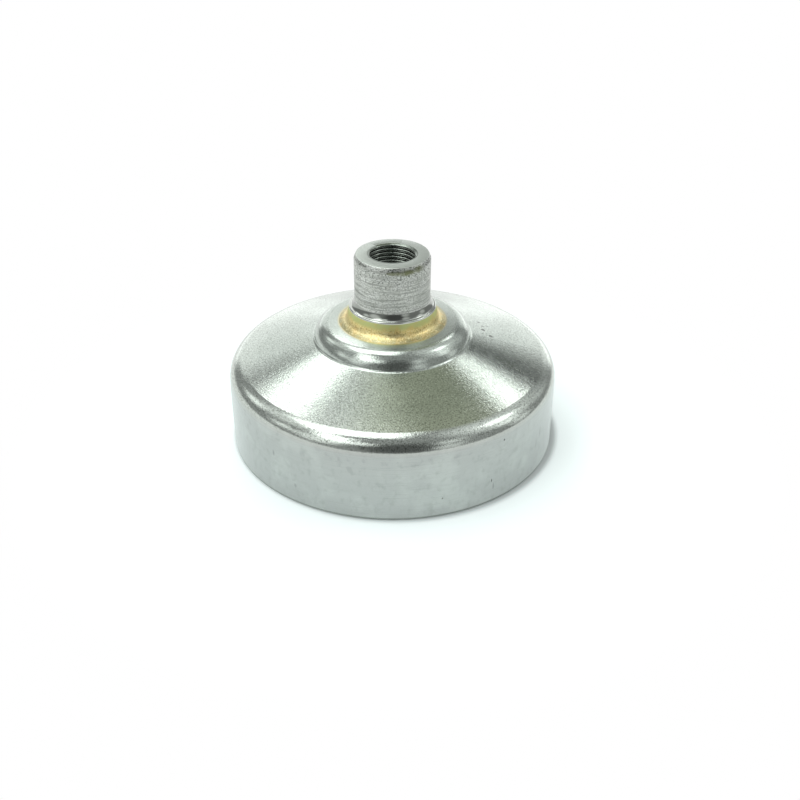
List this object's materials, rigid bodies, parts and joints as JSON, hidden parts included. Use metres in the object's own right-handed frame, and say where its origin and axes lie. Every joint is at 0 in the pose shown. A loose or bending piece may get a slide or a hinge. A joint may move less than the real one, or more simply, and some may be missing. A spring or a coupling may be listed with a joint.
{
  "type": "brush cutter clutch drum",
  "caption": "Pressed steel clutch drum: open skirt with a friction bore, coned web, domed centre and a brazed-on turned hub with a threaded bore that takes the drive.",
  "frame": {"origin": "centre of the drum's open rim, in the plane the rim stands on", "axes": "+Z along the drum's axis, from the open rim to the threaded hub; X and Y are alike"},
  "size_m": [0.082, 0.082, 0.0484],
  "materials": {
    "shell_steel": "bright pressed sheet, grainy on the web and smooth on the skirt",
    "hub_steel": "dull turned bar, bright at the foot",
    "braze": "grainy brass-coloured filler"
  },
  "bodies": {
    "root": {"drum_shell": "shell_steel", "threaded_hub": "hub_steel", "braze_fillet": "braze"}
  },
  "joints": []
}
